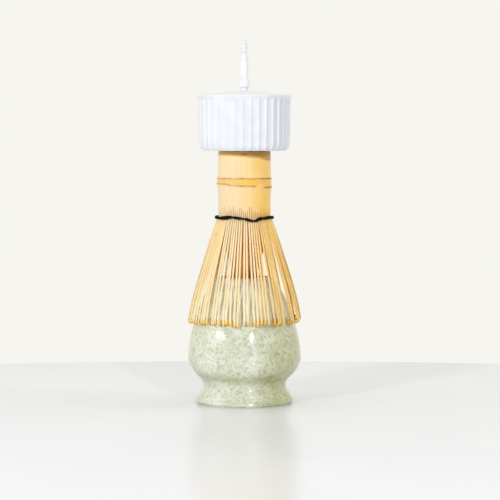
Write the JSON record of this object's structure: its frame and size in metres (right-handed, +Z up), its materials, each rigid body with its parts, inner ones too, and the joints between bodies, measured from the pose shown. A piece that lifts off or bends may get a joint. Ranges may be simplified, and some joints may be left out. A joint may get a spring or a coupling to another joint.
{
  "type": "bamboo tea whisk",
  "caption": "Bamboo tea whisk with splayed, curl-tipped tines, upside down on a hollow glazed keeper, with a fluted candle cup resting on the end of its handle.",
  "frame": {"origin": "centre of the stand's foot, on the surface it stands on", "axes": "+Z up the whisk's axis, from the stand's foot to the candle's tip; +X to the right and +Y away from a person in front"},
  "size_m": [0.0614, 0.0614, 0.1955],
  "materials": {
    "glaze": "glossy pale green glaze with fine darker speckles",
    "bamboo": "satin dried bamboo, fine lengthwise fibres",
    "thread": "matt black cotton thread",
    "porcelain": "satin white porcelain",
    "wax": "white candle wax",
    "cotton": "white cotton wick dipped in wax"
  },
  "bodies": {
    "stand": {"stand": "glaze"},
    "whisk": {"handle": "bamboo", "outer_tines_01": "bamboo", "outer_tines_02": "bamboo", "outer_tines_03": "bamboo", "outer_tines_04": "bamboo", "outer_tines_05": "bamboo", "outer_tines_06": "bamboo", "outer_tines_07": "bamboo", "outer_tines_08": "bamboo", "outer_tines_09": "bamboo", "outer_tines_10": "bamboo", "outer_tines_11": "bamboo", "outer_tines_12": "bamboo", "outer_tines_13": "bamboo", "outer_tines_14": "bamboo", "outer_tines_15": "bamboo", "outer_tines_16": "bamboo", "inner_tines_01": "bamboo", "inner_tines_02": "bamboo", "inner_tines_03": "bamboo", "inner_tines_04": "bamboo", "inner_tines_05": "bamboo", "inner_tines_06": "bamboo", "inner_tines_07": "bamboo", "inner_tines_08": "bamboo", "inner_tines_09": "bamboo", "inner_tines_10": "bamboo", "inner_tines_11": "bamboo", "inner_tines_12": "bamboo", "inner_tines_13": "bamboo", "inner_tines_14": "bamboo", "inner_tines_15": "bamboo", "inner_tines_16": "bamboo", "binding_thread": "thread"},
    "cup": {"fluted_cup": "porcelain", "wax_fill": "wax"},
    "candle": {"candle": "wax", "candle_collar": "wax", "wick": "cotton"}
  },
  "joints": [
    {"name": "whisk_lift", "type": "slide", "parent": "stand", "child": "whisk", "axis": [0, 0, 1], "range_m": [0, 0.1]},
    {"name": "cup_lift", "type": "slide", "parent": "whisk", "child": "cup", "axis": [0, 0, 1], "range_m": [0, 0.05]},
    {"name": "candle_pull", "type": "slide", "parent": "cup", "child": "candle", "axis": [0, 0, 1], "range_m": [0, 0.03]}
  ]
}
